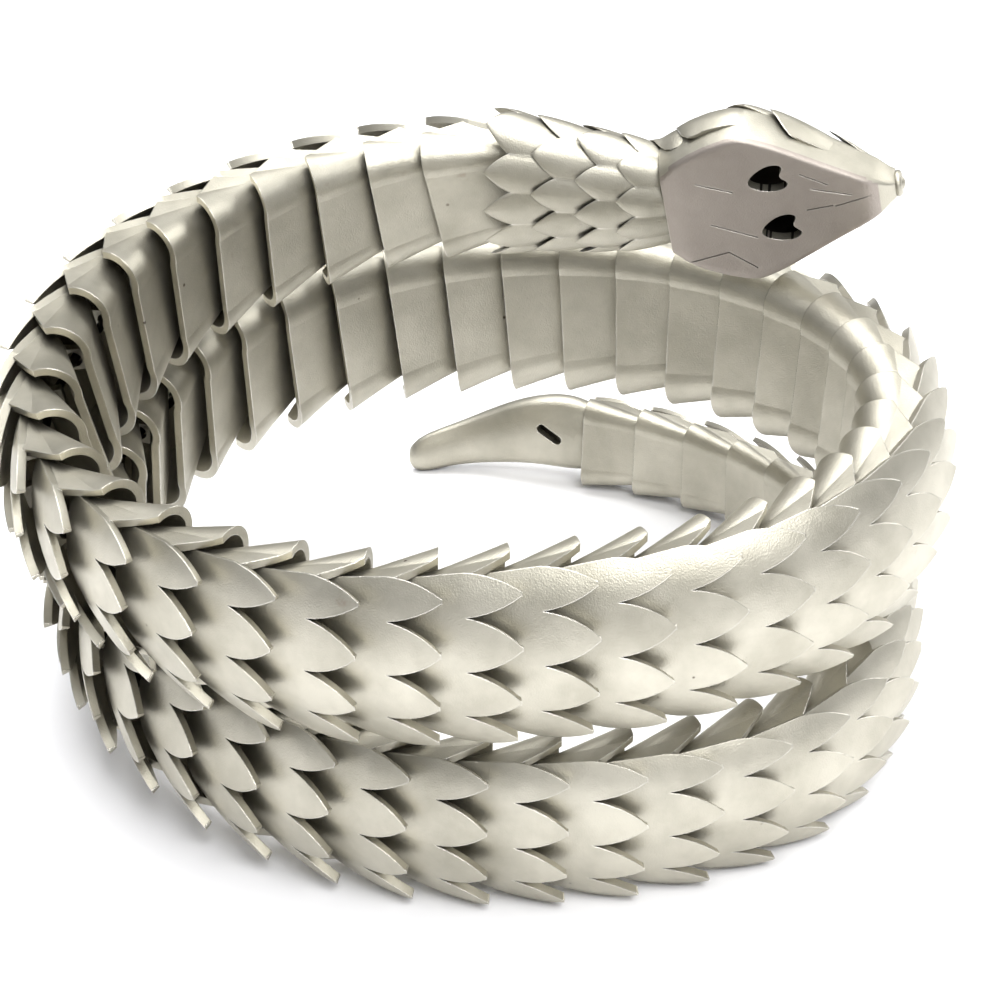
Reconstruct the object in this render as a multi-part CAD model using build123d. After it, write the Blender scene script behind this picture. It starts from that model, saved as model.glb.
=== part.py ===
from build123d import *
import math
import os

os.makedirs("parts", exist_ok=True)

# A snake coil bracelet in matte steel, lying on its lowest coil: a hollow head on a scaled neck, a body of
# nested plate links threaded on a wire, and a plain tail cap. Millimetres, +Z up, the head to the right at
# the back. Each link is drawn in its own frame: X away from the wrist, Y toward the tail, Z across the body.

# Sizes of the whole
COIL_RADIUS = 35.0
BODY_HEIGHT = 17.6
BODY_REACH = 5.7
SEAM_DROP = 2.5
SEAM_HEIGHT = 7.8
LINK_COUNT = 74
LINK_PITCH = 5.7

# Plates
PLATE = 0.8
LEAF_TIP = 2.0
LEAF_LIFT = 0.22
LEAF_BOW = 40.0
LEAF_BLUNT = 0.2
LEAF_BULGE = 0.17
ROW_SPLIT = 0.56
ROW_CROWN = 0.18
NOTCH_BACK = 2.4
LINK_BACK = 7.8
WRAP_TAIL = 1.6
WRAP_LENGTH = 8.5
WRAP_DEEPER = 1.5

# Belly plate at its tail edge and at its hidden head edge: points of its outer side from the belly over the
# hump to the seam, as shares of half the body height, and the way its thickness goes in degrees
WRAP_TAIL_SECTION = [
    (-0.290, 0.500, -4),
    (-0.150, 0.885, -47),
    (0.141, 0.922, -128),
    (0.295, 0.941, -92),
    (0.460, 0.980, -90),
]
WRAP_HEAD_SECTION = [
    (-0.010, 0.420, -4),
    (0.022, 0.590, -20),
    (0.094, 0.690, -45),
    (0.151, 0.715, -60),
    (0.210, 0.695, -75),
]

# Thread
WIRE_DIAMETER = 0.8
WIRE_CLEARANCE = 0.35
WIRE_BEND = 14.0
WIRE_OUT = 2.71
WIRE_IN = 0.21
WIRE_END = 0.15
EYELET_BACK = 5.2
EYELET_THICKNESS = 0.8
EYELET_WALL = 0.35

# Neck, a solid core under three rings of scales, the last of them open over the first link
NECK_LENGTH = 14.3
NECK_HEADING = -9.0
NECK_PITCH = -1.0
NECK_LEAN = 14.0
NECK_OUT = 1.6
NECK_DEEP = 3.35
NECK_TALL = 6.65
NECK_BORE = 3.1
OVAL_END = 0.7
COLLAR_SCALES = 10
COLLAR_TIP = 1.9
COLLAR_STEP = 5.1
COLLAR_LENGTH = 6.4
COLLAR_NOTCH = 3.6
COLLAR_RISE = 0.55
COLLAR_WALL = 0.6
COLLAR_TURN = 0.35

# Head
HEAD_LENGTH = 21.6
HEAD_WIDTH = 16.4
HEAD_DEPTH = 7.3
HEAD_FLAT = 2.3
HEAD_WALL = 1.1
HEAD_HEADING = -8.0
HEAD_PITCH = 8.0
HEAD_LEAN = 12.0
NOSE_RADIUS = 1.25
NOSE_OUT = 0.3
EYE_LENGTH = 3.8
EYE_WIDTH = 3.4
EYES = [(7.9, 2.9, 12), (8.5, -2.6, 12)]
CROWN_RISE = 0.35
LINE_WIDTH = 0.25
LINE_DEPTH = 0.2
HEAD_LINES = [((4.2, -0.9), (7.8, -2.9)), ((13.5, 1.6), (16.2, 1.2)), ((13.2, -0.6), (16.8, 0.1)),
              ((17.2, 0.1), (19.0, 0.3))]

# Head sections: place as a share of the length, flat and full half widths as shares of half the width,
# crest as a share of the depth
HEAD_STATIONS = [
    (0.000, 0.61, 0.68, 0.44),
    (0.185, 0.77, 0.85, 0.58),
    (0.347, 0.95, 1.00, 0.68),
    (0.556, 0.62, 0.78, 0.67),
    (0.787, 0.30, 0.42, 0.49),
    (0.950, 0.14, 0.18, 0.24),
]

# Scales on the crown: place along the head, turn from the crest, length and width
CROWN_SCALES = [
    (3.2, 0, 7.0, 5.0),
    (9.6, 0, 7.0, 5.4),
    (15.4, 0, 6.0, 4.0),
    (5.8, 48, 7.2, 5.0),
    (12.4, 46, 6.8, 4.4),
    (3.4, 80, 6.4, 3.6),
    (9.4, 78, 7.4, 3.6),
    (16.4, 70, 6.0, 2.6),
]

# Tail cap
CAP_LENGTH = 17.4
CAP_HEIGHT = 7.8
CAP_DEPTH = 4.6
CAP_WALL = 1.0
CAP_SHARE = 0.54
SLOT_LENGTH = 1.9
SLOT_WIDTH = 0.9
SLOT_AT = 5.2
SLOT_TURN = 30.0

# Cap sections: place as a share of the length, centre and half size outward as shares of the depth, centre and
# half size across as shares of the height
CAP_STATIONS = [
    (-0.130, 0.20, 0.26, 0.00, 0.29),
    (0.080, 0.22, 0.37, 0.04, 0.42),
    (0.247, 0.20, 0.47, 0.06, 0.48),
    (0.471, 0.11, 0.43, 0.01, 0.44),
    (0.695, 0.01, 0.36, -0.135, 0.36),
    (0.920, -0.28, 0.27, -0.31, 0.28),
    (1.075, -0.54, 0.19, -0.43, 0.20),
    (1.110, -0.58, 0.10, -0.44, 0.11),
]

# Route of the body: link, radius and height as shares of COIL_RADIUS and BODY_HEIGHT, lean in degrees,
# width as a share of the full body
START_ANGLE = 87.5
ROUTE = [
    (0, 0.543, 2.250, 15, 0.80),
    (4, 0.783, 2.050, 12, 0.90),
    (8, 1.017, 1.847, -6, 0.97),
    (12, 1.169, 1.628, -16, 1.00),
    (16, 1.137, 1.492, -8, 1.00),
    (20, 1.026, 1.444, 1, 1.00),
    (24, 0.991, 1.400, 1, 1.00),
    (30, 0.923, 1.338, -6, 1.00),
    (36, 0.849, 1.295, -4, 1.00),
    (42, 0.974, 1.080, 6, 1.00),
    (48, 1.014, 0.770, 2, 1.00),
    (54, 1.003, 0.507, -8.9, 0.98),
    (57, 1.009, 0.468, -9.1, 0.94),
    (61, 1.022, 0.440, -7.8, 0.881),
    (65, 0.925, 0.404, 0.6, 0.794),
    (70, 0.970, 0.293, -0.1, 0.572),
    (76, 1.081, 0.263, -14.2, 0.533),
]


def blend(column, link):
    """One column of the route at any link, eased through the stations."""
    rows = [(row[0], row[column]) for row in ROUTE]
    slopes = []
    for i in range(len(rows)):
        before = rows[max(i - 1, 0)]
        after = rows[min(i + 1, len(rows) - 1)]
        slopes.append((after[1] - before[1]) / (after[0] - before[0]))
    i = 0
    while i < len(rows) - 2 and link > rows[i + 1][0]:
        i += 1
    (k0, v0), (k1, v1) = rows[i], rows[i + 1]
    span = k1 - k0
    t = (link - k0) / span
    if t > 1:
        return v1 + slopes[i + 1] * (link - k1)
    a = 2 * t**3 - 3 * t**2 + 1
    b = t**3 - 2 * t**2 + t
    c = t**3 - t**2
    return a * v0 + b * span * slopes[i] + (1 - a) * v1 + c * span * slopes[i + 1]


def route():
    """A frame and a width share for each link, from the neck to one past the last link."""
    points = []
    angle = math.radians(START_ANGLE)
    radius = height = None
    for link in range(LINK_COUNT + 2):
        new_radius = blend(1, link) * COIL_RADIUS
        new_height = blend(2, link) * BODY_HEIGHT
        if radius is not None:
            flat = LINK_PITCH**2 - (new_radius - radius) ** 2 - (new_height - height) ** 2
            angle += math.sqrt(flat) * 2 / (new_radius + radius)
        radius, height = new_radius, new_height
        points.append(Vector(radius * math.cos(angle), radius * math.sin(angle), height))
    frames = []
    for link, point in enumerate(points):
        ahead = points[min(link + 1, LINK_COUNT + 1)]
        behind = points[max(link - 1, 0)]
        along = (ahead - behind).normalized()
        outward = along.cross(Vector(0, 0, 1)).normalized()
        across = outward.cross(along)
        lean = math.radians(blend(3, link))
        x_dir = outward * math.cos(lean) + across * math.sin(lean)
        z_dir = across * math.cos(lean) - outward * math.sin(lean)
        frames.append((Plane(origin=point, x_dir=x_dir, z_dir=z_dir), blend(4, link)))
    return frames


def dome_size(share, along):
    """Centre, outer radius and half angle of the scaled side at a place along the link."""
    seam = SEAM_HEIGHT * share
    radius = (seam**2 + (SEAM_DROP * share) ** 2) / (2 * SEAM_DROP * share)
    spread = math.asin(seam / radius)
    bow_at = LEAF_TIP + LEAF_BOW * LEAF_LIFT * share
    lift = math.sqrt(LEAF_BOW**2 - (along - bow_at) ** 2) - math.sqrt(LEAF_BOW**2 - (NOTCH_BACK + bow_at) ** 2)
    return BODY_REACH * share - radius, radius + lift, spread


def dome_section(share, along):
    """Section of the scaled side: four crowned rows outside, one plain arc inside."""
    centre, outer, spread = dome_size(share, along)
    inner = outer - PLATE * share
    turns = [spread, ROW_SPLIT * spread, 0, -ROW_SPLIT * spread, -spread]

    def point(distance, turn):
        return centre + distance * math.cos(turn), distance * math.sin(turn)

    with BuildSketch(Plane(origin=(0, along, 0), x_dir=(1, 0, 0), z_dir=(0, -1, 0))) as face:
        with BuildLine():
            for a, b in zip(turns, turns[1:]):
                crown = outer * math.cos((a - b) / 2) + ROW_CROWN * share
                ThreePointArc(point(outer, a), point(crown, (a + b) / 2), point(outer, b))
            Line(point(outer, turns[4]), point(inner, turns[4]))
            for b, a in zip(turns[:0:-1], turns[-2::-1]):
                ThreePointArc(point(inner, b), point(inner, (a + b) / 2), point(inner, a))
            Line(point(inner, turns[0]), point(outer, turns[0]))
        make_face()
    return face.sketch.face()


def gap_cutter(plane, start, tip, above, below, height):
    """Straight cutter for the gap between two scale points: arcs from the notch to each tip, open beyond.

    above and below are how far the two tips stand to either side; an above of zero leaves that side open.
    """
    end = tip + 2
    sides = []
    for wide in (above, -below):
        length = tip - start
        bulge = LEAF_BULGE / math.hypot(length, wide)
        middle = (start + length / 2 + bulge * wide * wide, wide / 2 - bulge * length * wide)
        sides.append((middle, (tip, wide)))
    with BuildSketch(plane) as outline:
        with BuildLine():
            if above > 0:
                ThreePointArc((start, 0), sides[0][0], sides[0][1])
                Line(sides[0][1], (end, above))
                corner = (end, above)
            else:
                Line((start, 0), (start, 3))
                Line((start, 3), (end, 3))
                corner = (end, 3)
            Polyline(corner, (end, -below), sides[1][1])
            ThreePointArc(sides[1][1], sides[1][0], (start, 0))
        make_face()
    return extrude(outline.sketch, height)


def notch(share, turn, above, below):
    """Cutter for one notch of a link, between rows that take these angles of the dome."""
    centre, radius, spread = dome_size(share, -NOTCH_BACK)
    deep = radius - 2.5 * share
    plane = Plane(origin=(centre + deep * math.cos(turn), 0, deep * math.sin(turn)),
                  x_dir=(0, 1, 0), z_dir=(math.cos(turn), 0, math.sin(turn)))
    reach = radius + 1.14 * share
    wide = [reach * math.sin(angle / 2) - LEAF_BLUNT * share if angle else 0 for angle in (above, below)]
    return gap_cutter(plane, -NOTCH_BACK, LEAF_TIP - 0.1, wide[0], wide[1], 5.5 * share + 1)


def dome(share):
    """The scaled side of a link, its tail edge cut to four points."""
    spread = dome_size(share, -NOTCH_BACK)[2]
    outer, inner = (1 - ROW_SPLIT) * spread, ROW_SPLIT * spread
    body = loft([dome_section(share, y) for y in (-LINK_BACK, -NOTCH_BACK, LEAF_TIP)])
    upper = notch(share, ROW_SPLIT * spread, outer, inner)
    edge = notch(share, spread, 0, outer)
    cutters = [notch(share, 0, inner, inner), upper, mirror(upper, Plane.XY), edge, mirror(edge, Plane.XY)]
    for cutter in cutters:
        body = body - cutter
    return body


def wrap_points(stations, share, along, deeper=0.0):
    """Outer and inner points of the belly plate's upper half, kept on the seam of the dome."""
    half = BODY_HEIGHT / 2 * share
    centre, radius, spread = dome_size(share, along)
    full_centre, full_radius, spread = dome_size(1, along)
    move_x = centre + radius * math.cos(spread) - share * (full_centre + full_radius * math.cos(spread))
    move_z = (radius - share * full_radius) * math.sin(spread)
    outer = []
    inner = []
    for (x, z, facing), grip, fall in zip(stations, (0, 0.5, 1, 1, 1), (1, 0.8, 0.4, 0.1, 0)):
        depth = math.radians(facing)
        x = x * half + move_x * grip - deeper * fall
        z = z * half + move_z * grip
        outer.append((x, z))
        inner.append((x + PLATE * share * math.cos(depth), z + PLATE * share * math.sin(depth)))
    return outer, inner


def wrap_section(stations, share, along, deeper=0.0):
    """Section of the belly plate: a C round the wrist side, ending at the two seams."""
    outer, inner = wrap_points(stations, share, along, deeper)
    low_outer = [(x, -z) for x, z in outer]
    low_inner = [(x, -z) for x, z in inner]
    with BuildSketch(Plane(origin=(0, along, 0), x_dir=(1, 0, 0), z_dir=(0, -1, 0))) as face:
        with BuildLine():
            ThreePointArc(outer[4], outer[3], outer[2])
            ThreePointArc(outer[2], outer[1], outer[0])
            Line(outer[0], low_outer[0])
            ThreePointArc(low_outer[0], low_outer[1], low_outer[2])
            ThreePointArc(low_outer[2], low_outer[3], low_outer[4])
            Line(low_outer[4], low_inner[4])
            ThreePointArc(low_inner[4], low_inner[3], low_inner[2])
            ThreePointArc(low_inner[2], low_inner[1], low_inner[0])
            Line(low_inner[0], inner[0])
            ThreePointArc(inner[0], inner[1], inner[2])
            ThreePointArc(inner[2], inner[3], inner[4])
            Line(inner[4], outer[4])
        make_face()
    return face.sketch.face()


def wire_out(share):
    """How far outward of the route line the wire runs at a link of this width."""
    return WIRE_OUT * share - WIRE_IN


def eyelet(share):
    """Eyelet under the crest near the head end of a link, with the hole for the wire."""
    hole = wire_out(share) - EYELET_BACK**2 / (2 * COIL_RADIUS)
    bore = WIRE_DIAMETER / 2 + WIRE_CLEARANCE
    centre, radius, spread = dome_size(share, -EYELET_BACK)
    top = centre + radius - PLATE * share / 2
    low = hole - bore - EYELET_WALL
    lug = Box(top - low, EYELET_THICKNESS, 2 * bore + 2 * EYELET_WALL)
    lug = Pos((top + low) / 2, -EYELET_BACK, 0) * lug
    return lug - Pos(hole, -EYELET_BACK, 0) * Rot(90, 0, 0) * Cylinder(bore, 2 * EYELET_THICKNESS)


def link_solid(share):
    """One link: the scaled dome, the belly plate wrapped behind it, and the eyelet."""
    tail = wrap_section(WRAP_TAIL_SECTION, share, WRAP_TAIL)
    head = wrap_section(WRAP_HEAD_SECTION, share, WRAP_TAIL - WRAP_LENGTH, WRAP_DEEPER * (1 - share))
    wrap = loft([head, tail], ruled=True)
    lip = BODY_REACH * share * 0.02
    far = BODY_REACH * share * 0.62
    with BuildSketch(Plane(origin=(0, 0, -BODY_HEIGHT), x_dir=(1, 0, 0), z_dir=(0, 0, 1))) as plan:
        with BuildLine():
            Polyline((lip, WRAP_TAIL + 1), (-BODY_HEIGHT, WRAP_TAIL + 1), (-BODY_HEIGHT, -2 * WRAP_LENGTH),
                     (BODY_HEIGHT, -2 * WRAP_LENGTH), (BODY_HEIGHT, -NOTCH_BACK - 0.2), (far, -NOTCH_BACK - 0.2))
            ThreePointArc((far, -NOTCH_BACK - 0.2), (far * 0.62, -NOTCH_BACK * 0.2), (lip, WRAP_TAIL + 1))
        make_face()
    wrap = wrap & extrude(plan.sketch, 2 * BODY_HEIGHT)
    return dome(share).fuse(wrap, eyelet(share))


def oval(along, out, deep, across, tall, squareness=OVAL_END):
    """Oval section of tangent arcs: centre and half sizes outward and across."""
    end = squareness * deep
    side = (tall**2 + deep**2 - 2 * tall * end) / (2 * (deep - end))
    join_x = end * (side - deep) / (side - end)
    join_z = (tall - end) * side / (side - end)
    with BuildSketch(Plane(origin=(out, along, across), x_dir=(1, 0, 0), z_dir=(0, -1, 0))) as face:
        with BuildLine():
            ThreePointArc((join_x, join_z), (deep, 0), (join_x, -join_z))
            ThreePointArc((join_x, -join_z), (0, -tall), (-join_x, -join_z))
            ThreePointArc((-join_x, -join_z), (-deep, 0), (-join_x, join_z))
            ThreePointArc((-join_x, join_z), (0, tall), (join_x, join_z))
        make_face()
    return face.sketch.face()


def neck_size(along):
    """Centre and half sizes of the neck's core at a place behind the head."""
    t = -along / NECK_LENGTH
    return NECK_OUT * (1 - 0.45 * t), NECK_DEEP * (1 - 0.08 * t), 0, NECK_TALL * (1 - 0.21 * t)


def collar(root, tip, first, hollow):
    """One ring of pointed scales round the neck, the first notch at an angle, tips toward the tail."""
    out, deep, across, tall = neck_size(root)
    small = oval(root, out, deep - 0.15, across, tall - 0.15, 0.88 if hollow else OVAL_END)
    out, deep, across, tall = neck_size(tip)
    deep += COLLAR_RISE
    tall += COLLAR_RISE
    if hollow:
        out += COLLAR_TURN
    ring = loft([small, oval(tip, out, deep, across, tall, 0.9 if hollow else OVAL_END)], ruled=True)
    step = 360 / COLLAR_SCALES
    spots = []
    for i in range(COLLAR_SCALES + 1):
        angle = math.radians(first + i * step)
        spots.append((out + deep * math.cos(angle), tall * math.sin(angle), angle))
    for i in range(COLLAR_SCALES):
        x, z, angle = spots[i]
        ahead = math.dist(spots[i][:2], spots[i + 1][:2]) / 2 - LEAF_BLUNT
        behind = math.dist(spots[i][:2], spots[i - 1 if i else COLLAR_SCALES - 1][:2]) / 2 - LEAF_BLUNT
        normal = Vector(math.cos(angle) / deep, 0, math.sin(angle) / tall).normalized()
        origin = Vector(x, 0, z) - normal * 1.6
        plane = Plane(origin=origin, x_dir=(0, 1, 0), z_dir=normal)
        ring = ring - gap_cutter(plane, tip - COLLAR_NOTCH, tip - 0.1, ahead, behind, 3)
    if hollow:
        out, deep, across, tall = neck_size(0)
        wall = COLLAR_WALL - COLLAR_RISE
        bore = [oval(-NECK_BORE, out - 0.1, deep - wall - 0.25, across, tall - wall - 0.3, 0.85),
                oval(tip + 0.5, out + COLLAR_TURN, deep - wall + 0.2, across, tall - wall + 0.25, 0.95)]
        ring = ring - loft(bore, ruled=True)
    return ring


def head_section(station, grow=0.0, shrink=0.0):
    """Section of the head: flat underside, rounded cheeks, and the dome."""
    s, flat, side, top = station
    low = -HEAD_FLAT + shrink
    flat = flat - 0.5 * shrink
    side = side + grow - shrink
    top = top + grow - shrink
    edge = 0.25 * (top + HEAD_FLAT)
    with BuildSketch(Plane(origin=(0, -s, 0), x_dir=(1, 0, 0), z_dir=(0, -1, 0))) as face:
        with BuildLine():
            Line((low, -flat), (low, flat))
            ThreePointArc((low, flat), (low + 0.45 * (edge - low), flat + 0.72 * (side - flat)), (edge, side))
            ThreePointArc((edge, side), (top, 0), (edge, -side))
            ThreePointArc((edge, -side), (low + 0.45 * (edge - low), -flat - 0.72 * (side - flat)), (low, -flat))
        make_face()
    return face.sketch.face()


def head_body(grow=0.0, shrink=0.0):
    """The head as a smooth solid through its sections, grown or drawn in."""
    rows = [(s * HEAD_LENGTH, f * HEAD_WIDTH / 2, w * HEAD_WIDTH / 2, t * HEAD_DEPTH) for s, f, w, t in HEAD_STATIONS]
    if shrink:
        rows[0] = (rows[0][0] + shrink, *rows[0][1:])
        rows[-1] = (rows[-1][0] - 1.5 * shrink, *[1.25 * v for v in rows[-1][1:]])
    return loft([head_section(row, grow, shrink) for row in rows])


def eye(s, across, turn):
    """Heart-shaped hole through the underside, its point toward the neck."""
    plane = Plane(origin=(-HEAD_FLAT - 1, -s, across), x_dir=(0, -1, 0), z_dir=(1, 0, 0)).rotated((0, 0, turn))
    half = EYE_WIDTH / 2
    with BuildSketch(plane) as outline:
        with BuildLine():
            ThreePointArc((0, 0), (0.45 * EYE_LENGTH, 0.8 * half), (0.8 * EYE_LENGTH, half))
            ThreePointArc((0.8 * EYE_LENGTH, half), (EYE_LENGTH, 0.62 * half), (0.78 * EYE_LENGTH, 0.1 * half))
            ThreePointArc((0.78 * EYE_LENGTH, 0.1 * half), (EYE_LENGTH, -0.42 * half), (0.8 * EYE_LENGTH, -half))
            ThreePointArc((0.8 * EYE_LENGTH, -half), (0.45 * EYE_LENGTH, -0.8 * half), (0, 0))
        make_face()
    return extrude(outline.sketch, HEAD_WALL + 2)


def crown_scale(s, turn, length, width):
    """Leaf-shaped cutter standing over the dome of the head, its tip toward the neck."""
    way = math.radians(turn)
    plane = Plane(origin=(0, -s, 0), x_dir=(0, 1, 0), z_dir=(math.cos(way), 0, math.sin(way)))
    half = width / 2
    with BuildSketch(plane) as outline:
        with BuildLine():
            ThreePointArc((-length / 2, 0), (-0.1 * length, half), (length / 2, 0))
            ThreePointArc((length / 2, 0), (-0.1 * length, -half), (-length / 2, 0))
        make_face()
    return extrude(outline.sketch, HEAD_WIDTH)


def head_and_neck():
    """Head and neck as one hollow casting, in the neck's frame with the head set on its end."""
    shell = head_body()
    raised = head_body(grow=CROWN_RISE)
    for s, turn, length, width in CROWN_SCALES:
        patch = raised & crown_scale(s, turn, length, width)
        shell = shell + patch
        if turn:
            shell = shell + mirror(patch, Plane.XY)
    nose = Pos(NOSE_OUT, -HEAD_LENGTH + NOSE_RADIUS, 0) * Sphere(NOSE_RADIUS)
    shell = shell + nose
    shell = shell - head_body(shrink=HEAD_WALL)
    for s, across, turn in EYES:
        shell = shell - eye(s, across, turn)
    for (s0, w0), (s1, w1) in HEAD_LINES:
        long = math.hypot(s1 - s0, w1 - w0)
        turn = math.degrees(math.atan2(w1 - w0, s0 - s1))
        groove = Box(2 * LINE_DEPTH, long, LINE_WIDTH)
        shell = shell - Pos(-HEAD_FLAT, -(s0 + s1) / 2, (w0 + w1) / 2) * Rot(turn, 0, 0) * groove
    return shell


def bearing(origin, heading, pitch, lean):
    """Frame for a length of the neck or head that points along a heading and pitch."""
    heading, pitch, lean = (math.radians(v) for v in (heading, pitch, lean))
    along = Vector(-math.cos(pitch) * math.cos(heading), -math.cos(pitch) * math.sin(heading), -math.sin(pitch))
    outward = along.cross(Vector(0, 0, 1)).normalized()
    across = outward.cross(along)
    x_dir = outward * math.cos(lean) + across * math.sin(lean)
    z_dir = across * math.cos(lean) - outward * math.sin(lean)
    return Plane(origin=origin, x_dir=x_dir, z_dir=z_dir)


def tail_cap():
    """Plain cap on the last link: a plug inside the link, a flattened taper, and a rounded tip."""
    rows = [(y * CAP_LENGTH, o * CAP_DEPTH, d * CAP_DEPTH, a * CAP_HEIGHT, t * CAP_HEIGHT)
            for y, o, d, a, t in CAP_STATIONS]
    body = loft([oval(*row) for row in rows])
    inner = [oval(row[0], row[1], row[2] - CAP_WALL, row[3], row[4] - CAP_WALL) for row in rows[1:4]]
    body = body - loft(inner)
    slot = Box(CAP_DEPTH, SLOT_LENGTH, SLOT_WIDTH)
    slot = slot + Pos(0, SLOT_LENGTH / 2, 0) * Rot(0, 90, 0) * Cylinder(SLOT_WIDTH / 2, CAP_DEPTH)
    slot = slot + Pos(0, -SLOT_LENGTH / 2, 0) * Rot(0, 90, 0) * Cylinder(SLOT_WIDTH / 2, CAP_DEPTH)
    return body - Pos(-CAP_DEPTH / 2, SLOT_AT, 0.6) * Rot(SLOT_TURN, 0, 0) * slot


frames = route()
made = {}
links = []
for number in range(1, LINK_COUNT + 1):
    plane, share = frames[number]
    key = round(share, 2)
    if key not in made:
        made[key] = link_solid(key)
    links.append(plane.location * made[key])

neck_plane = bearing(frames[0][0].origin, NECK_HEADING, NECK_PITCH, NECK_LEAN)
head_at = neck_plane.from_local_coords(Vector(0, -NECK_LENGTH, 0))
head_plane = bearing(head_at, HEAD_HEADING, HEAD_PITCH, HEAD_LEAN)
core = loft([oval(y, *neck_size(y)) for y in (-NECK_BORE, -NECK_LENGTH / 2, -NECK_LENGTH - 1.5)])
neck = core
for i in range(3):
    tip = COLLAR_TIP - i * COLLAR_STEP
    neck = neck + collar(tip - COLLAR_LENGTH, tip, 0 if i % 2 == 0 else 180 / COLLAR_SCALES, i == 0)
neck = neck_plane.location * neck
head = head_plane.location * head_and_neck() + neck

cap = frames[LINK_COUNT][0].location * tail_cap()

holes = []
for plane, share in frames[1:LINK_COUNT + 1]:
    holes.append(plane.from_local_coords(Vector(wire_out(share) - EYELET_BACK**2 / (2 * COIL_RADIUS), -EYELET_BACK, 0)))
first = neck_plane.from_local_coords(Vector(NECK_OUT, -NECK_BORE - 3, 0))
last = frames[LINK_COUNT][0].from_local_coords(Vector(wire_out(CAP_SHARE) - 0.1, 1.0, 0))
with BuildLine() as thread:
    FilletPolyline(first, *holes, last, radius=WIRE_BEND)
line = thread.line
wire = sweep(Plane(origin=line @ 0, z_dir=line % 0) * Circle(WIRE_DIAMETER / 2), path=line)
head_bore = Plane(origin=first, z_dir=(holes[0] - first).normalized()).offset(-2 * WIRE_END)
head = head - extrude(head_bore * Circle(WIRE_DIAMETER / 2 + WIRE_END), 6)
cap_bore = Plane(origin=last, z_dir=(holes[-1] - last).normalized()).offset(-2 * WIRE_END)
cap = cap - extrude(cap_bore * Circle(WIRE_DIAMETER / 2 + WIRE_END), 6)

half = LINK_COUNT // 2
nodes = {
    "head": head,
    "upper_coil_links": Compound(children=links[:half]),
    "lower_coil_links": Compound(children=links[half:]),
    "tail_cap": cap,
    "core_wire": wire,
}
low = [min(tuple(node.bounding_box().min)[i] for node in nodes.values()) for i in range(3)]
high = [max(tuple(node.bounding_box().max)[i] for node in nodes.values()) for i in range(3)]
set_down = Pos(-(low[0] + high[0]) / 2, -(low[1] + high[1]) / 2, -low[2])
print("set down by", [round(v, 4) for v in set_down.position])
for name, node in nodes.items():
    export_step(set_down * node, "parts/" + name + ".step")
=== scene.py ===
# %% [markdown]
# A snake coil bracelet in matte blasted steel, lying on a pale table.
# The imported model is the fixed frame: its links, head, cap and wire keep their places, in metres, with +Z up.

# %% Load the frame
import math

import bpy
from mathutils import Matrix, Vector


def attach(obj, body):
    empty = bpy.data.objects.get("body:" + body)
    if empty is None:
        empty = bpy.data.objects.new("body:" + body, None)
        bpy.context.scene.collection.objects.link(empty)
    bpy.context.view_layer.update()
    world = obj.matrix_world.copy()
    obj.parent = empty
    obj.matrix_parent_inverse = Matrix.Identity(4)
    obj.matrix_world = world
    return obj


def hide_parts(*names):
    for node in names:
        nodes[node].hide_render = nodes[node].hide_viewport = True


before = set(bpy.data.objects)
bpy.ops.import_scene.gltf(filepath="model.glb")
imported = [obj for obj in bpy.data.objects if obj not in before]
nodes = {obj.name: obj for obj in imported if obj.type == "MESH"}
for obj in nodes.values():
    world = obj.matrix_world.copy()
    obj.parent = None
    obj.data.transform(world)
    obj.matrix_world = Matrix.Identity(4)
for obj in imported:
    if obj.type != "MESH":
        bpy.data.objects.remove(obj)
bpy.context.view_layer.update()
print("nodes:", sorted(nodes))

# %% [markdown]
# A few helpers serve every material. Colours are given as sRGB hex, but the renderer mixes light in
# linear values, so one function turns them. Sizes are thought of in millimetres, while the scene is in metres.

# %% Helpers for colours, sizes and nodes
MM = 0.001


def linear(hex_colour):
    """An sRGB hex colour as linear red, green, blue and alpha."""
    parts = [int(hex_colour[i:i + 2], 16) / 255 for i in (1, 3, 5)]
    return (*[c / 12.92 if c <= 0.04045 else ((c + 0.055) / 1.055) ** 2.4 for c in parts], 1.0)


def add_node(material, kind, settings=None, inputs=None):
    """Adds a node, sets its properties, and fills or links its inputs."""
    node = material.node_tree.nodes.new(kind)
    for key, value in (settings or {}).items():
        setattr(node, key, value)
    for key, value in (inputs or {}).items():
        if isinstance(value, bpy.types.NodeSocket):
            material.node_tree.links.new(value, node.inputs[key])
        else:
            node.inputs[key].default_value = value
    return node


def new_material(name):
    """An empty node material with only its output."""
    material = bpy.data.materials.new(name)
    material.use_nodes = True
    material.node_tree.nodes.clear()
    return material, add_node(material, "ShaderNodeOutputMaterial")


print("steel in linear light:", [round(c, 3) for c in linear("#aca89a")])

# %% [markdown]
# The bracelet is cast steel, bead blasted: tiny round dents from the glass beads make it matte and grainy.
# Its corners are painted near white as a highlight and made smoother where wear rubs them, the gaps between
# the scales are painted dark as shade, and a few brown specks and stains have grown. A bevel node tells where
# an edge is near, and ambient occlusion where a gap is, so the painted highlight and the painted shade follow
# the metal's shape. The underside of the head is given a darker, pinker steel, and the hidden wire and the
# head's inside are painted near black as shade.

# %% Blasted cast steel
BEAD_MM = 0.15      # width of a dent left by a blasting bead
DENT_MM = 0.035     # depth of the dents and pits
EDGE_MM = 0.14      # width of the rounded corner, painted bright as a highlight and smoothed by wear
GAP_SHADE_MM = 1.3       # a gap narrower than this is painted dark as shade
CLOUD_MM = 7.0      # size of the clouds in the blasted tone
STAIN_MM = 5.0      # size of the brown stains
PIT_MM = 2.6        # spacing of the places where a pit may stand


def ramp(material, value, low, high, to_low=0.0, to_high=1.0):
    """A value turned from one range to another, kept inside it."""
    return add_node(material, "ShaderNodeMapRange", {}, {
        "Value": value, "From Min": low, "From Max": high,
        "To Min": to_low, "To Max": to_high}).outputs["Result"]


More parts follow.
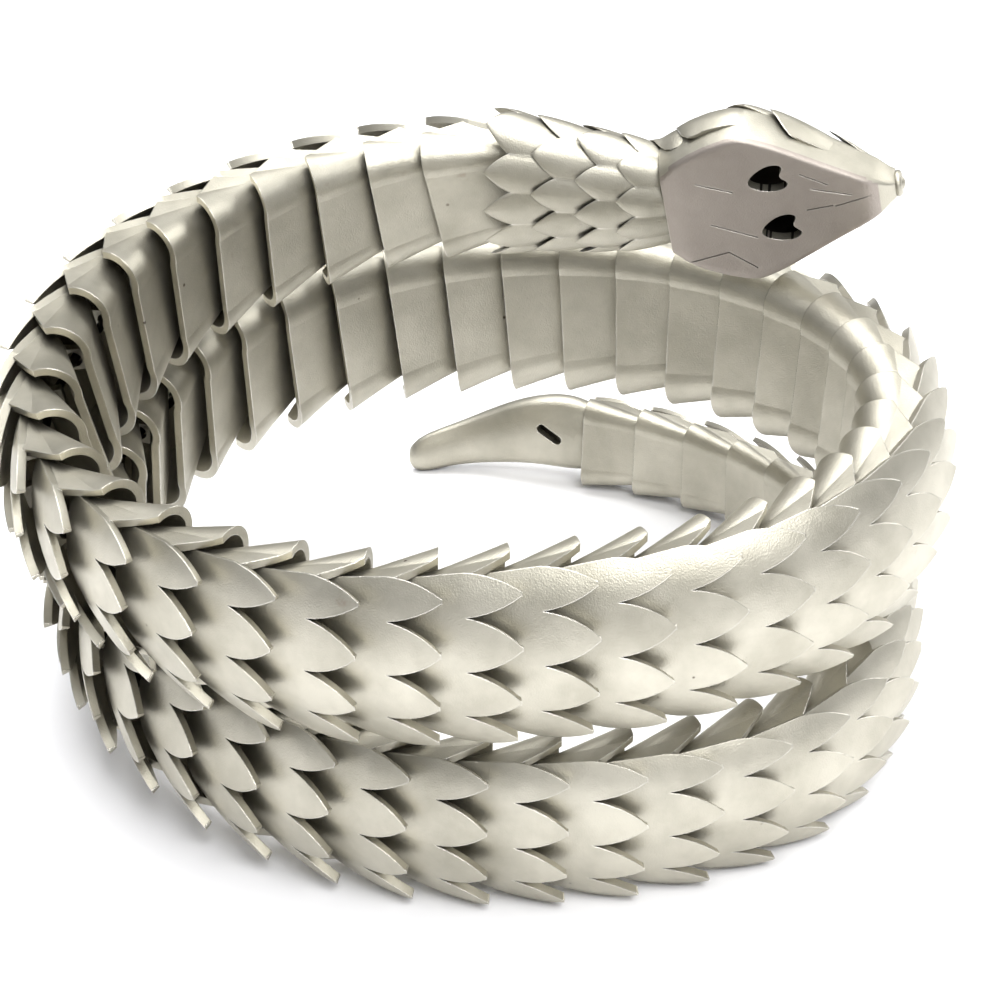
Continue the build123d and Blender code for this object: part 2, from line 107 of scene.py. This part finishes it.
def mixed(material, factor, first, second):
    """Two colours mixed by a factor."""
    return add_node(material, "ShaderNodeMixRGB", {}, {
        "Fac": factor, "Color1": first, "Color2": second}).outputs["Color"]


def combined(material, operation, first, second):
    """Two values multiplied or subtracted."""
    return add_node(material, "ShaderNodeMath", {"operation": operation}, {
        0: first, 1: second}).outputs["Value"]


def noise(material, place, size_mm, **inputs):
    """Even noise whose clumps have a real size."""
    return add_node(material, "ShaderNodeTexNoise", {}, {
        "Vector": place, "Scale": 1 / (size_mm * MM), **inputs}).outputs["Fac"]


def blasted_steel(name, body, pale, highlight_and_wear_colour, gap_shade_colour, smooth=0.46, rubbed=0.26):
    """Blasted steel in two clouded tones, with painted highlight and wear on corners, painted shade in gaps,
    stains and pits.
    """
    material, output = new_material(name)
    place = add_node(material, "ShaderNodeTexCoord").outputs["Object"]
    cloud = noise(material, place, CLOUD_MM, Detail=5.0, Roughness=0.6)
    grain = noise(material, place, BEAD_MM, Detail=2.0)
    blotch = noise(material, place, STAIN_MM, Detail=6.0, Roughness=0.7)
    pit = add_node(material, "ShaderNodeTexVoronoi", {"feature": "F1"}, {
        "Vector": place, "Scale": 1 / (PIT_MM * MM), "Randomness": 1.0})
    rare = ramp(material, pit.outputs["Color"], 0.80, 0.84)
    small = ramp(material, pit.outputs["Distance"], 0.075, 0.045)
    speck = combined(material, "MULTIPLY", rare, small)
    facing = add_node(material, "ShaderNodeNewGeometry").outputs["Normal"]
    round_edge = add_node(material, "ShaderNodeBevel", {"samples": 2}, {
        "Radius": EDGE_MM * MM}).outputs["Normal"]
    likeness = add_node(material, "ShaderNodeVectorMath", {"operation": "DOT_PRODUCT"},
                        {0: round_edge, 1: facing}).outputs["Value"]
    reach = add_node(material, "ShaderNodeAmbientOcclusion", {"samples": 3}, {
        "Distance": GAP_SHADE_MM * MM}).outputs["AO"]
    # The corners: their near-white colour is a painted highlight, their lower roughness is real wear.
    edge = combined(material, "MULTIPLY", ramp(material, likeness, 0.985, 0.86),
                    ramp(material, reach, 0.25, 0.55))
    # Painted shade: gaps found by ambient occlusion are darkened toward the shade colour.
    painted_gap_shade = ramp(material, reach, 0.50, 0.05)
    stain = ramp(material, blotch, 0.66, 0.74, 0.0, 0.35)
    colour = mixed(material, ramp(material, cloud, 0.35, 0.65), linear(body), linear(pale))
    colour = mixed(material, stain, colour, linear("#8d7767"))
    colour = mixed(material, edge, colour, linear(highlight_and_wear_colour))
    colour = mixed(material, painted_gap_shade, colour, linear(gap_shade_colour))
    colour = mixed(material, speck, colour, linear("#4a3c33"))
    rough = ramp(material, edge, 0.0, 1.0, smooth, rubbed)
    height = combined(material, "SUBTRACT", grain, speck)
    bump = add_node(material, "ShaderNodeBump", {}, {
        "Strength": 0.8, "Distance": DENT_MM * MM, "Height": height, "Normal": round_edge}).outputs["Normal"]
    shader = add_node(material, "ShaderNodeBsdfPrincipled", {}, {
        "Base Color": colour, "Metallic": 1.0, "Roughness": rough, "Normal": bump}).outputs["BSDF"]
    material.node_tree.links.new(shader, output.inputs["Surface"])
    return material


# Arguments: name, two clouded tones, the corners' painted highlight and wear colour, the gaps' painted shade
# colour.
steel = blasted_steel("blasted_cast_steel", "#aca89a", "#c3bfb1", "#f6f3ec", "#15120f")
# The head's underside gets a darker, pinker steel.
jaw_steel = blasted_steel("head_underside_steel", "#a09890", "#aba39b", "#d9d4cb", "#15120f", 0.5, 0.36)
# Near-black steel, painted as the shade inside the head and around the hidden wire.
dark_steel = blasted_steel("painted_shade_dark_steel", "#3a3733", "#45413c", "#5a554f", "#0d0c0b")
for name, node in nodes.items():
    node.data.materials.clear()
    node.data.materials.append(dark_steel if name == "core_wire" else steel)
print("steel on:", sorted(nodes))

# %% [markdown]
# The head and neck are the finest casting on the bracelet, so they are modelled here and the plain ones are
# hidden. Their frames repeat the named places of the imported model: the neck leaves the first link, and the head
# sits on its far end, turned a little.

# %% Where the neck and the head stand
SET_DOWN = Vector((2.4423, 1.3592, 0.0423))     # from the drawn route to the bracelet's own origin
NECK_FOOT = Vector((0.829, 18.987, 39.6))
NECK_LENGTH = 14.3
HEAD_LENGTH = 21.6
HEAD_HALF = 8.2     # half of its width
HEAD_DEPTH = 7.3
HEAD_FLAT = 2.3     # from its axis to the flat underside
HEAD_WALL = 1.1


def bearing(origin, heading, pitch, lean):
    """Matrix of a frame whose second axis points back toward the tail."""
    heading, pitch, lean = (math.radians(v) for v in (heading, pitch, lean))
    level = math.cos(pitch)
    along = Vector((-level * math.cos(heading), -level * math.sin(heading), -math.sin(pitch)))
    outward = along.cross(Vector((0, 0, 1))).normalized()
    across = outward.cross(along)
    first = outward * math.cos(lean) + across * math.sin(lean)
    third = across * math.cos(lean) - outward * math.sin(lean)
    matrix = Matrix((first, along, third)).transposed().to_4x4()
    matrix.translation = origin
    return matrix


neck_frame = bearing(NECK_FOOT + SET_DOWN, -9, -1, 14)
head_frame = bearing(neck_frame @ Vector((0, -NECK_LENGTH, 0)), -8, 8, 12)
print("head stands at", [round(v, 2) for v in head_frame.translation], "mm")

# %% [markdown]
# A casting with a changing section is easiest to think of as a sheet rolled up round its length. A grid is
# added, each of its points is moved to its place on the section, the seam is welded and the ends are filled.

# %% Rolled shapes
def grid(name, columns, rows):
    """A flat unit grid from (0, 0) to (1, 1), ready to be shaped."""
    bpy.ops.object.select_all(action="DESELECT")
    bpy.ops.mesh.primitive_grid_add(x_subdivisions=columns, y_subdivisions=rows, size=1.0,
                                    location=(0.5, 0.5, 0))
    sheet = bpy.context.object
    sheet.name = name
    bpy.ops.object.transform_apply(location=True, rotation=True, scale=True)
    return sheet


def in_edit_mode(piece, *steps):
    """Runs mesh operators on all of a piece."""
    bpy.ops.object.select_all(action="DESELECT")
    piece.select_set(True)
    bpy.context.view_layer.objects.active = piece
    bpy.ops.object.mode_set(mode="EDIT")
    bpy.ops.mesh.select_all(action="SELECT")
    for step in steps:
        step()
    bpy.ops.object.mode_set(mode="OBJECT")


def roll(name, place, columns, rows):
    """A closed tube whose points go where place(round, along) says, in the piece's own millimetres."""
    tube = grid(name, columns, rows)
    for vertex in tube.data.vertices:
        vertex.co = place(vertex.co.x, vertex.co.y)

    def close_ends():
        bpy.ops.mesh.remove_doubles(threshold=0.001)
        bpy.ops.mesh.select_all(action="DESELECT")
        bpy.ops.mesh.select_non_manifold()
        bpy.ops.mesh.fill_holes(sides=0)
        bpy.ops.mesh.select_all(action="SELECT")
        bpy.ops.mesh.normals_make_consistent(inside=False)

    in_edit_mode(tube, close_ends)
    return tube


def apply_modifier(piece, kind, **settings):
    """Adds a modifier with these settings and makes it part of the mesh."""
    bpy.ops.object.select_all(action="DESELECT")
    piece.select_set(True)
    bpy.context.view_layer.objects.active = piece
    modifier = piece.modifiers.new(kind.lower(), kind)
    for key, value in settings.items():
        setattr(modifier, key, value)
    bpy.ops.object.modifier_apply(modifier=modifier.name)


def set_in_place(piece, matrix):
    """Moves a piece from its own millimetres to its place on the bracelet, in metres."""
    piece.data.transform(Matrix.Scale(MM, 4) @ matrix)
    piece.data.update()


print("rolled shapes are ready")

# %% [markdown]
# The real head is flat below, domed above and widest behind the holes, and it tapers to a small round nose. Its
# section is given at eleven places and eased between them: a half oval over the crest, a tight rounded jaw and
# a flat underside, which lifts a little at the nose and where the neck begins.

# %% Section of the head
# Place as a share of the length, flat and full half widths as shares of HEAD_HALF, crest as one of HEAD_DEPTH
HEAD_STATIONS = [
    (0.000, 0.44, 0.66, 0.42),
    (0.060, 0.60, 0.75, 0.47),
    (0.130, 0.73, 0.84, 0.53),
    (0.230, 0.85, 0.94, 0.60),
    (0.347, 0.92, 1.00, 0.65),
    (0.450, 0.82, 0.92, 0.65),
    (0.556, 0.67, 0.78, 0.62),
    (0.670, 0.50, 0.61, 0.55),
    (0.787, 0.34, 0.43, 0.44),
    (0.890, 0.20, 0.27, 0.31),
    (0.965, 0.08, 0.13, 0.19),
]


def along_head(share):
    """Flat half width, full half width and crest of the head at a share of its length, in millimetres."""
    rows = HEAD_STATIONS
    share = min(max(share, 0.0), rows[-1][0])
    i = max(k for k in range(len(rows) - 1) if rows[k][0] <= share)
    t = (share - rows[i][0]) / (rows[i + 1][0] - rows[i][0])
    values = []
    for column in (1, 2, 3):
        v0, v1 = rows[i][column], rows[i + 1][column]
        before = rows[max(i - 1, 0)][column]
        after = rows[min(i + 2, len(rows) - 1)][column]
        m0, m1 = (v1 - before) / 2, (after - v0) / 2
        values.append((2 * t**3 - 3 * t**2 + 1) * v0 + (t**3 - 2 * t**2 + t) * m0
                      + (3 * t**2 - 2 * t**3) * v1 + (t**3 - t**2) * m1)
    return values[0] * HEAD_HALF, values[1] * HEAD_HALF, values[2] * HEAD_DEPTH


def head_outline(share, turn, inset=0.0):
    """Point of the head's skin; turn runs from -180 to 180 degrees, with 0 at the crest."""
    flat, side, top = along_head(share)
    neck_lift = 0.3 * max(0.0, 1 - share / 0.1) ** 2
    nose_lift = 1.3 * max(0.0, (share - 0.82) / 0.145) ** 2
    low = -HEAD_FLAT + neck_lift + nose_lift + inset
    flat, side, top = flat - 0.6 * inset, side - inset, top - inset
    edge = 0.25 * (top + HEAD_FLAT)
    size = abs(turn)
    sign = 1 if turn >= 0 else -1
    if size <= 90:
        way = math.radians(size)
        x, z = edge + (top - edge) * math.cos(way), side * math.sin(way)
    elif size <= 135:
        way = math.radians((size - 90) * 2)
        x = edge + (low - edge) * math.sin(way) ** 0.9
        z = flat + (side - flat) * math.cos(way)
    else:
        x, z = low, flat * (180 - size) / 45
    return x, sign * z


def head_skin(inset, near, far):
    """The head's skin, or one inside it, between two shares of the length."""
    def place(round_share, along_share):
        share = near + (far - near) * along_share
        x, z = head_outline(share, 360 * round_share - 180, inset)
        return Vector((x, -share * HEAD_LENGTH, z))
    return place


print("widest half:", round(max(along_head(k / 40)[1] for k in range(41)), 2), "mm")

# %% [markdown]
# The head is hollow: a smaller skin is cut out of it, then two heart-shaped holes go through the flat underside
# into the hollow. Fine lines are scribed on the underside, where plates meet at the jaw.

# %% Hollow head with its holes
head_shell = roll("head_shell", head_skin(0.0, 0.0, 0.965), 72, 44)
hollow = roll("head_hollow", head_skin(HEAD_WALL, 0.06, 0.90), 48, 24)
apply_modifier(head_shell, "BOOLEAN", object=hollow, operation="DIFFERENCE", solver="EXACT")
bpy.data.objects.remove(hollow)


def heart(along, across, turn, length=3.9, width=3.5):
    """A heart-shaped bar through the underside, its point toward the neck."""
    bpy.ops.object.select_all(action="DESELECT")
    bpy.ops.mesh.primitive_circle_add(vertices=48, radius=1.0, fill_type="NGON")
    bar = bpy.context.object
    for vertex in bar.data.vertices:
        way = math.atan2(vertex.co.y, vertex.co.x)
        long = 0.5 + 0.5 * math.cos(way) - 0.24 * math.exp(-(way / 0.42) ** 2)
        wide = math.sin(way) * (0.62 + 0.45 * math.cos(way / 2) ** 2) * 0.92
        c, s = math.cos(math.radians(turn)), math.sin(math.radians(turn))
        u, v = long * length, wide * width / 2
        vertex.co = Vector((-HEAD_FLAT - 1.0, -(along + u * c - v * s), across + u * s + v * c))
    through = {"value": (2.6, 0, 0)}
    in_edit_mode(bar, lambda: bpy.ops.mesh.extrude_region_move(TRANSFORM_OT_translate=through),
                 lambda: bpy.ops.mesh.select_all(action="SELECT"),
                 lambda: bpy.ops.mesh.normals_make_consistent(inside=False))
    return bar


HOLES = [(7.9, 2.9, 12), (8.5, -2.6, 12)]       # place from the neck, place across, turn in degrees
for along, across, turn in HOLES:
    bar = heart(along, across, turn)
    apply_modifier(head_shell, "BOOLEAN", object=bar, operation="DIFFERENCE", solver="EXACT")
    bpy.data.objects.remove(bar)

LINE_DEEP = 0.2     # twice the depth of a scribed line
LINE_WIDE = 0.13
SCRIBED = [((4.0, -1.2), (8.0, -3.0)), ((13.4, 1.9), (17.0, 0.9)), ((12.8, -0.4), (15.2, -0.1)),
           ((15.4, -0.2), (18.6, 0.6)), ((1.6, -5.2), (5.2, -4.4)), ((5.2, -4.4), (7.6, -6.4)),
           ((12.6, 3.6), (15.0, 2.2)), ((3.2, 3.4), (6.4, 2.2))]
for (s0, w0), (s1, w1) in SCRIBED:
    bpy.ops.object.select_all(action="DESELECT")
    bpy.ops.mesh.primitive_cube_add(size=1.0)
    line = bpy.context.object
    turn = Matrix.Rotation(math.atan2(w1 - w0, s0 - s1), 4, "X")
    size = Matrix.Diagonal((LINE_DEEP, math.hypot(s1 - s0, w1 - w0), LINE_WIDE, 1.0))
    middle = Matrix.Translation((-HEAD_FLAT, -(s0 + s1) / 2, (w0 + w1) / 2))
    line.data.transform(middle @ turn @ size)
    apply_modifier(head_shell, "BOOLEAN", object=line, operation="DIFFERENCE", solver="EXACT")
    bpy.data.objects.remove(line)
head_shell.data.materials.append(steel)
head_shell.data.materials.append(dark_steel)
head_shell.data.materials.append(jaw_steel)
# Faces inside the hollow get the near-black steel as painted shade, and the underside the darker, pinker steel.
for face in head_shell.data.polygons:
    x, y, z = face.center
    flat, side, top = along_head(-y / HEAD_LENGTH)
    between = -HEAD_FLAT + 0.55 < x < top - 0.6 and abs(z) < side - 0.6
    inside = between and 0.8 < -y < 0.92 * HEAD_LENGTH
    under = x < -HEAD_FLAT + 0.4
    face.material_index = 1 if inside else 2 if under else 0
print("head shell:", len(head_shell.data.polygons), "faces")

# %% [markdown]
# Each scale is a thin leaf, arched across, with its free tip toward the tail. One flat leaf is shaped, given
# its thickness and softened edges, and then copies of it are laid on the curved skin in rows, each row half a
# step round from the last, the way tiles are hung.

# %% One leaf
WIDEST = 0.42       # where a leaf is widest, as a share of its length
ARCH = 0.16         # its rise in the middle, as a share of half its width
leaf = grid("leaf", 8, 12)
for vertex in leaf.data.vertices:
    across, along = vertex.co.x * 2 - 1, vertex.co.y
    wide = (1 - max(0, (along - WIDEST) / (1 - WIDEST)) ** 1.9) * (0.80 + 0.20 * min(1, along / WIDEST))
    vertex.co = Vector((across * wide, along, ARCH * (1 - across * across) * wide))
in_edit_mode(leaf, lambda: bpy.ops.mesh.remove_doubles(threshold=0.002),
             lambda: bpy.ops.mesh.normals_make_consistent(inside=False))
apply_modifier(leaf, "SOLIDIFY", thickness=0.15, offset=-1.0)
apply_modifier(leaf, "BEVEL", width=0.018, segments=2, limit_method="ANGLE", angle_limit=math.radians(40))
print("leaf:", len(leaf.data.polygons), "faces")


def lay_leaf(place, long, wide, root, tip):
    """A copy of the leaf in millimetres: place(along, across, height) bends it over what it lies on."""
    mesh = leaf.data.copy()
    for vertex in mesh.vertices:
        across, along, height = vertex.co
        rise = root + (tip - root) * along + height * wide * 0.5
        vertex.co = place(along * long, across * wide / 2, rise)
    return mesh


def join(name, meshes, matrix):
    """One piece from many meshes, set in its place."""
    pieces = []
    for mesh in meshes:
        piece = bpy.data.objects.new(name, mesh)
        bpy.context.scene.collection.objects.link(piece)
        pieces.append(piece)
    bpy.ops.object.select_all(action="DESELECT")
    for piece in pieces:
        piece.select_set(True)
    bpy.context.view_layer.objects.active = pieces[0]
    bpy.ops.object.join()
    piece = bpy.context.object
    piece.name = name
    in_edit_mode(piece, lambda: bpy.ops.mesh.normals_make_consistent(inside=False))
    set_in_place(piece, matrix)
    return piece


# %% [markdown]
# On the crown the scales are large and few, and grow smaller toward the nose. The scales of each row cover the
# roots of the row before it, so the rows read as dark curved lines.

# %% Scales on the crown
CROWN_ROOT = -0.5   # a root goes this far under the skin, and a tip stands this far over it
CROWN_TIP = 0.62
# Place along the head, turn from the crest in degrees, length and width
CROWN = [
    (5.2, 0, 6.8, 6.6), (5.0, 58, 6.6, 6.2), (5.0, -58, 6.6, 6.2),
    (9.2, 30, 7.6, 6.0), (9.2, -30, 7.6, 6.0), (9.4, 84, 7.8, 4.6), (9.4, -84, 7.8, 4.6),
    (13.0, 0, 7.4, 5.2), (13.4, 58, 7.6, 4.8), (13.4, -58, 7.6, 4.8),
    (16.6, 28, 6.8, 4.0), (16.6, -28, 6.8, 4.0), (17.4, 84, 7.2, 3.2), (17.4, -84, 7.2, 3.2),
    (19.6, 0, 5.8, 3.0), (20.4, 56, 5.4, 2.2), (20.4, -56, 5.4, 2.2),
]


def on_crown(front, turn):
    """Lays a leaf on the crown, its root at a place along the head and its tip toward the neck."""
    def place(along, across, height):
        share = (front - along) / HEAD_LENGTH
        flat, side, top = along_head(share)
        middle = math.radians(turn)
        rise = top - 0.25 * (top + HEAD_FLAT)
        stretch = math.hypot(rise * math.sin(middle), side * math.cos(middle))
        way = turn + math.degrees(across / max(stretch, 1.5))
        x, z = head_outline(share, max(-104, min(104, way)))
        x2, z2 = head_outline(share, max(-105, min(105, way + 1)))
        normal = Vector((z2 - z, 0, -(x2 - x))).normalized()
        return Vector((x, -share * HEAD_LENGTH, z)) + normal * height
    return place


meshes = [lay_leaf(on_crown(front, turn), long, wide, CROWN_ROOT, CROWN_TIP)
          for front, turn, long, wide in CROWN]
crown_scales = join("crown_scales", meshes, head_frame)
set_in_place(head_shell, head_frame)
print("crown scales:", len(CROWN))

# %% [markdown]
# The neck is a solid oval core under four rows of nine scales. The last row flares open over the first link,
# and the first row's roots go in under the back of the head, where the core is slimmed so that it ends inside.

# %% Neck with its rows of scales
def neck_size(along):
    """Centre and half sizes of the neck's oval at a place behind the head."""
    t = -along / NECK_LENGTH
    return 1.6 * (1 - 0.45 * t), 3.35 * (1 - 0.08 * t), 6.65 * (1 - 0.21 * t)


def neck_skin(height, near, far):
    """The neck's skin, raised by a height, between two places along it."""
    def place(round_share, along_share):
        along = near + (far - near) * along_share
        out, deep, tall = neck_size(along)
        slim = 0.8 * max(0.0, -along - NECK_LENGTH + 0.8)
        deep, tall = deep - slim, tall - slim
        way = math.radians(360 * round_share)
        return Vector((out + (deep + height) * math.cos(way), along, (tall + height) * math.sin(way)))
    return place


neck_core = roll("neck_core", neck_skin(-0.1, -NECK_LENGTH - 1.4, -3.1), 56, 20)
set_in_place(neck_core, neck_frame)


def round_neck(along, distance):
    """Angle on the neck's oval at a distance measured round it from the belly side."""
    out, deep, tall = neck_size(along)
    way, left = math.pi, distance
    step = 0.01 if distance > 0 else -0.01
    while left * (1 if step > 0 else -1) > 0:
        left -= math.hypot(deep * math.sin(way), tall * math.cos(way)) * step
        way += step
    return way


def girth(along):
    """Distance round the neck's oval."""
    out, deep, tall = neck_size(along)
    return math.pi * (3 * (deep + tall) - math.sqrt((3 * deep + tall) * (deep + 3 * tall)))


def on_neck(root, share_round):
    """Lays a leaf on the neck, its root at a place along it and at a share of the way round."""
    centre = round_neck(root, girth(root) * share_round)

    def place(along, across, height):
        y = root + along
        out, deep, tall = neck_size(min(y, 0.0))
        stretch = math.hypot(deep * math.sin(centre), tall * math.cos(centre))
        way = centre + across / stretch
        normal = Vector((math.cos(way) / deep, 0, math.sin(way) / tall)).normalized()
        return Vector((out + deep * math.cos(way), y, tall * math.sin(way))) + normal * height
    return place


# Place of the roots, length, width, height of the roots and of the tips over the skin
NECK_ROWS = [
    (-15.2, 5.4, 4.0, -0.75, 0.65),
    (-12.4, 6.4, 4.1, -0.3, 0.8),
    (-8.8, 6.8, 4.3, -0.3, 0.9),
    (-5.2, 7.5, 4.6, -0.3, 1.25),
]
AROUND = 9
meshes = []
for row, (root, long, wide, sunk, flare) in enumerate(NECK_ROWS):
    for i in range(AROUND):
        share = (i + 0.5 * (row % 2)) / AROUND - 0.5
        meshes.append(lay_leaf(on_neck(root, share), long, wide, sunk, flare))
neck_scales = join("neck_scales", meshes, neck_frame)
print("neck scales:", len(meshes))

# %% [markdown]
# The nose is closed by a short rolled rim with a round bead in it, made from a torus and a ball. Then every
# piece gets its steel, smooth shading with crisp corners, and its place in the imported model.

# %% Nose, and the pieces' places
NOSE_RIM = (0.15, -21.05, 0)
NOSE_BEAD = (0.15, -20.85, 0)
bpy.ops.object.select_all(action="DESELECT")
bpy.ops.mesh.primitive_torus_add(major_segments=36, minor_segments=14, major_radius=0.86, minor_radius=0.36,
                                 location=NOSE_RIM, rotation=(math.radians(90), 0, 0))
bpy.ops.object.transform_apply(location=True, rotation=True, scale=True)
rim = bpy.context.object
bpy.ops.mesh.primitive_uv_sphere_add(segments=28, ring_count=16, radius=0.84, location=NOSE_BEAD)
bpy.ops.object.transform_apply(location=True, rotation=True, scale=True)
bead = bpy.context.object
nose = join("nose_rim", [rim.data.copy(), bead.data.copy()], head_frame)
bpy.data.objects.remove(rim)
bpy.data.objects.remove(bead)
bpy.data.objects.remove(leaf)

for piece in (head_shell, crown_scales, neck_core, neck_scales, nose):
    if piece is not head_shell:
        piece.data.materials.clear()
        piece.data.materials.append(steel)
    bpy.ops.object.select_all(action="DESELECT")
    piece.select_set(True)
    bpy.context.view_layer.objects.active = piece
    bpy.ops.object.shade_smooth_by_angle(angle=math.radians(35))
    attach(piece, "root")
    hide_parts("head")
print("pieces in place of the head: 5")

# %% [markdown]
# The bracelet lies on a pale table that runs far past the picture, so no edge of it shows.

# %% Table
bpy.ops.object.select_all(action="DESELECT")
bpy.ops.mesh.primitive_plane_add(size=3.0, location=(0, 0.4, 0))
table = bpy.context.object
table.name = "table_top"
bpy.ops.object.transform_apply(location=True, rotation=True, scale=True)
paint, output = new_material("matte_white_paint")
shader = add_node(paint, "ShaderNodeBsdfPrincipled", {}, {"Base Color": linear("#fafafc"), "Roughness": 0.7})
paint.node_tree.links.new(shader.outputs["BSDF"], output.inputs["Surface"])
table.data.materials.append(paint)
print("table laid")

# %% [markdown]
# Soft studio light: a large panel high at the front right, a wide one overhead and a small weak one at the
# back right. The room is bright above and dim toward the floor, so that upward faces of the metal shine and the
# belly stays darker. Colours go to the picture without a film curve, so that the table burns out to white.

# %% Lights
world = bpy.data.worlds.new("studio_room")
bpy.context.scene.world = world
world.use_nodes = True
tree = world.node_tree
sky = tree.nodes.new("ShaderNodeTexCoord")
height = tree.nodes.new("ShaderNodeSeparateXYZ")
glow = tree.nodes.new("ShaderNodeMapRange")
tree.links.new(sky.outputs["Generated"], height.inputs["Vector"])
tree.links.new(height.outputs["Z"], glow.inputs["Value"])
for key, value in {"From Min": 0.0, "From Max": 0.9, "To Min": 0.10, "To Max": 0.75}.items():
    glow.inputs[key].default_value = value
tree.links.new(glow.outputs["Result"], tree.nodes["Background"].inputs["Strength"])
tree.nodes["Background"].inputs["Color"].default_value = linear("#f6f7fb")
bpy.context.scene.view_settings.view_transform = "Standard"


def light_panel(name, size, place, aim, power):
    """A square white panel at a place, turned toward its aim."""
    data = bpy.data.lights.new(name, "AREA")
    data.shape = "SQUARE"
    data.size = size
    data.energy = power
    panel = bpy.data.objects.new(name, data)
    bpy.context.scene.collection.objects.link(panel)
    panel.location = place
    panel.rotation_euler = (Vector(aim) - Vector(place)).to_track_quat("-Z", "Y").to_euler()


light_panel("panel_front", 0.40, (0.16, -0.42, 0.52), (0, 0, 0.02), 4.2)
light_panel("panel_over", 0.45, (-0.05, 0.12, 0.60), (0, 0, 0.0), 4.4)
light_panel("panel_back_right", 0.25, (0.45, 0.30, 0.30), (0, 0, 0.02), 1.2)
print("three panels and a bright room")

# %% [markdown]
# The camera looks down at 28.6 degrees from the front, through a long lens that keeps the coils from spreading.
# Its tilt, distance and lens are those at which the drawn route falls on the photograph's coils.

# %% Camera
CAMERA_TILT = 0.498915535
CAMERA_AWAY = 364.3355 * MM
CAMERA_ROLL = -0.01204
LOOKED_AT = (Vector((-1.34019, 0, 18.75454)) + SET_DOWN) * MM
look = Vector((0, math.cos(CAMERA_TILT), -math.sin(CAMERA_TILT)))
side = Vector((1, 0, 0))
rise = side.cross(look)
right = side * math.cos(CAMERA_ROLL) + rise * math.sin(CAMERA_ROLL)
up = rise * math.cos(CAMERA_ROLL) - side * math.sin(CAMERA_ROLL)
place = LOOKED_AT - look * CAMERA_AWAY
camera_data = bpy.data.cameras.new("camera")
camera_data.sensor_width = 36.0
camera_data.lens = 148.42
camera_data.clip_start = 0.01
camera_data.clip_end = 10.0
camera = bpy.data.objects.new("camera", camera_data)
bpy.context.scene.collection.objects.link(camera)
camera.matrix_world = Matrix((
    (right.x, up.x, -look.x, place.x),
    (right.y, up.y, -look.y, place.y),
    (right.z, up.z, -look.z, place.z),
    (0, 0, 0, 1)))
bpy.context.scene.camera = camera
print("camera stands at", [round(v, 3) for v in place])
